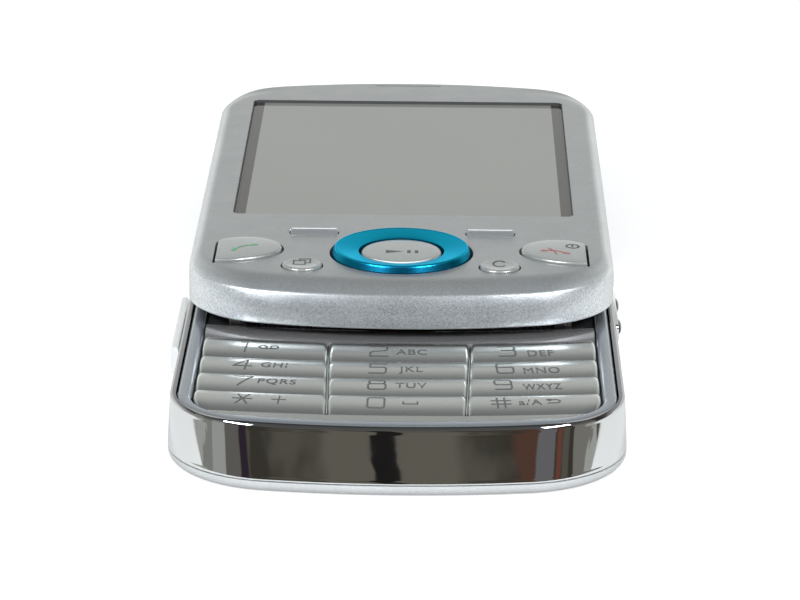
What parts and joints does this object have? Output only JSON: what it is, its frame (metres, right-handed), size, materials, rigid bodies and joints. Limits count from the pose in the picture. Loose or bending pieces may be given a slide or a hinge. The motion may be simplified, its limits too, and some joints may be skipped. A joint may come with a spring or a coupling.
{
  "type": "slider phone",
  "caption": "Slider phone lying on its back, slid open: a display half with navigation keys on a rail plate above a keypad half with a chrome side band.",
  "frame": {"origin": "centre of the lower half's back face, on which the phone lies", "axes": "+Z out of the display, +Y towards the earpiece end, the way the slider opens, +X to the right of the keys"},
  "size_m": [0.0539, 0.1272, 0.015],
  "materials": {
    "silver_paint": "silver flake paint, satin clear coat",
    "key_silver": "pearl silver, gloss",
    "key_silver_upper": "silver paint, satin",
    "key_bright": "bright silver paint",
    "teal_metal": "anodised teal look, gloss",
    "chrome": "chromed plastic, mirror polish",
    "chrome_keys": "dark chromed plastic",
    "cover_silver": "pale silver paint",
    "bezel_grey": "satin blue-grey paint",
    "trim_grey": "satin warm grey",
    "gloss_black": "gloss black",
    "black_plastic": "matte black",
    "steel": "rolled steel",
    "window_glass": "clear hard-coated window",
    "display": "unlit display",
    "board_green": "solder mask",
    "sheet_film": "polyimide film",
    "silicone": "translucent silicone",
    "battery_wrap": "printed wrap"
  },
  "bodies": {
    "lower_half": {"chrome_band": "chrome", "rear_top_panel": "cover_silver", "keypad_bezel": "bezel_grey", "lower_trim": "trim_grey", "keypad_strip": "gloss_black", "keypad_deck": "black_plastic", "main_frame": "black_plastic", "card_holder": "black_plastic", "loudspeaker": "black_plastic", "camera_module": "black_plastic", "headphone_jack": "black_plastic", "system_connector": "black_plastic", "slide_rail_plate": "steel", "shield_can": "steel", "base_screws": "steel", "slide_spring": "steel", "vibrator_motor": "steel", "camera_window": "window_glass", "main_board": "board_green", "keypad_dome_sheet": "sheet_film", "antenna": "sheet_film", "flex_cable": "sheet_film", "key_mat": "silicone", "battery": "battery_wrap"},
    "slider": {"front_cover": "silver_paint", "slider_frame": "black_plastic", "slide_runner_plate": "steel", "display_window": "window_glass", "display_panel": "display", "slider_board": "board_green", "slider_dome_sheet": "sheet_film", "earpiece": "black_plastic", "slider_screws": "steel"},
    "key_1": {"key_1": "key_silver"},
    "key_2": {"key_2": "key_silver"},
    "key_3": {"key_3": "key_silver"},
    "key_4": {"key_4": "key_silver"},
    "key_5": {"key_5": "key_silver"},
    "key_6": {"key_6": "key_silver"},
    "key_7": {"key_7": "key_silver"},
    "key_8": {"key_8": "key_silver"},
    "key_9": {"key_9": "key_silver"},
    "key_star": {"key_star": "key_silver"},
    "key_0": {"key_0": "key_silver"},
    "key_hash": {"key_hash": "key_silver"},
    "call_key": {"call_key": "key_silver_upper"},
    "end_key": {"end_key": "key_silver_upper"},
    "soft_key_left": {"soft_key_left": "key_bright"},
    "soft_key_right": {"soft_key_right": "key_bright"},
    "switch_key": {"switch_key": "key_silver_upper"},
    "clear_key": {"clear_key": "key_silver_upper"},
    "centre_key": {"centre_key": "key_silver_upper"},
    "nav_ring": {"nav_ring": "teal_metal"},
    "nav_ring_flange": {"nav_ring_flange": "black_plastic"},
    "volume_rocker": {"volume_rocker": "chrome_keys"},
    "camera_key": {"camera_key": "chrome_keys"},
    "port_cover": {"port_cover": "cover_silver"},
    "vibrator_weight": {"vibrator_weight": "steel"},
    "rear_cover": {"rear_cover": "cover_silver"}
  },
  "joints": [
    {"name": "slide_open", "type": "slide", "parent": "lower_half", "child": "slider", "axis": [0, 1, 0], "range_m": [-0.0319, 0], "deforming": ["flex_cable", "slide_spring"]},
    {"name": "key_1_press", "type": "slide", "parent": "lower_half", "child": "key_1", "axis": [0, 0, -1], "range_m": [0, 0.00025], "stiffness_N_per_m": 3000},
    {"name": "key_2_press", "type": "slide", "parent": "lower_half", "child": "key_2", "axis": [0, 0, -1], "range_m": [0, 0.00025], "stiffness_N_per_m": 3000},
    {"name": "key_3_press", "type": "slide", "parent": "lower_half", "child": "key_3", "axis": [0, 0, -1], "range_m": [0, 0.00025], "stiffness_N_per_m": 3000},
    {"name": "key_4_press", "type": "slide", "parent": "lower_half", "child": "key_4", "axis": [0, 0, -1], "range_m": [0, 0.00025], "stiffness_N_per_m": 3000},
    {"name": "key_5_press", "type": "slide", "parent": "lower_half", "child": "key_5", "axis": [0, 0, -1], "range_m": [0, 0.00025], "stiffness_N_per_m": 3000},
    {"name": "key_6_press", "type": "slide", "parent": "lower_half", "child": "key_6", "axis": [0, 0, -1], "range_m": [0, 0.00025], "stiffness_N_per_m": 3000},
    {"name": "key_7_press", "type": "slide", "parent": "lower_half", "child": "key_7", "axis": [0, 0, -1], "range_m": [0, 0.00025], "stiffness_N_per_m": 3000},
    {"name": "key_8_press", "type": "slide", "parent": "lower_half", "child": "key_8", "axis": [0, 0, -1], "range_m": [0, 0.00025], "stiffness_N_per_m": 3000},
    {"name": "key_9_press", "type": "slide", "parent": "lower_half", "child": "key_9", "axis": [0, 0, -1], "range_m": [0, 0.00025], "stiffness_N_per_m": 3000},
    {"name": "key_star_press", "type": "slide", "parent": "lower_half", "child": "key_star", "axis": [0, 0, -1], "range_m": [0, 0.00025], "stiffness_N_per_m": 3000},
    {"name": "key_0_press", "type": "slide", "parent": "lower_half", "child": "key_0", "axis": [0, 0, -1], "range_m": [0, 0.00025], "stiffness_N_per_m": 3000},
    {"name": "key_hash_press", "type": "slide", "parent": "lower_half", "child": "key_hash", "axis": [0, 0, -1], "range_m": [0, 0.00025], "stiffness_N_per_m": 3000},
    {"name": "call_key_press", "type": "slide", "parent": "slider", "child": "call_key", "axis": [0, 0, -1], "range_m": [0, 0.00025], "stiffness_N_per_m": 3000},
    {"name": "end_key_press", "type": "slide", "parent": "slider", "child": "end_key", "axis": [0, 0, -1], "range_m": [0, 0.00025], "stiffness_N_per_m": 3000},
    {"name": "soft_key_left_press", "type": "slide", "parent": "slider", "child": "soft_key_left", "axis": [0, 0, -1], "range_m": [0, 0.00025], "stiffness_N_per_m": 3000},
    {"name": "soft_key_right_press", "type": "slide", "parent": "slider", "child": "soft_key_right", "axis": [0, 0, -1], "range_m": [0, 0.00025], "stiffness_N_per_m": 3000},
    {"name": "switch_key_press", "type": "slide", "parent": "slider", "child": "switch_key", "axis": [0, 0, -1], "range_m": [0, 0.00025], "stiffness_N_per_m": 3000},
    {"name": "clear_key_press", "type": "slide", "parent": "slider", "child": "clear_key", "axis": [0, 0, -1], "range_m": [0, 0.00025], "stiffness_N_per_m": 3000},
    {"name": "centre_key_press", "type": "slide", "parent": "slider", "child": "centre_key", "axis": [0, 0, -1], "range_m": [0, 0.00025], "stiffness_N_per_m": 3000},
    {"name": "camera_key_press", "type": "slide", "parent": "lower_half", "child": "camera_key", "axis": [-1, 0, 0], "range_m": [0, 0.0003], "stiffness_N_per_m": 3000},
    {"name": "nav_ring_up_down", "type": "hinge", "parent": "slider", "child": "nav_ring_flange", "pos_m": [0, -0.002, 0.01222], "axis": [1, 0, 0], "range_deg": [-1.5, 1.5], "stiffness_Nm_per_rad": 0.4},
    {"name": "nav_ring_left_right", "type": "hinge", "parent": "nav_ring_flange", "child": "nav_ring", "pos_m": [0, -0.002, 0.01222], "axis": [0, 1, 0], "range_deg": [-1.5, 1.5], "stiffness_Nm_per_rad": 0.4},
    {"name": "volume_rock", "type": "hinge", "parent": "lower_half", "child": "volume_rocker", "pos_m": [0.0255, 0.0053, 0.0042], "axis": [0, 0, 1], "range_deg": [-1.5, 1.5], "stiffness_Nm_per_rad": 0.4},
    {"name": "port_cover_swing", "type": "hinge", "parent": "lower_half", "child": "port_cover", "pos_m": [-0.0266, 0.00595, 0.004], "axis": [0, 0, -1], "range_deg": [0, 100]},
    {"name": "vibrator_spin", "type": "hinge", "parent": "lower_half", "child": "vibrator_weight", "pos_m": [-0.02, -0.035, 0.00323], "axis": [1, 0, 0], "continuous": true},
    {"name": "rear_cover_off", "type": "slide", "parent": "lower_half", "child": "rear_cover", "axis": [0, -1, 0], "range_m": [0, 0.05]}
  ]
}
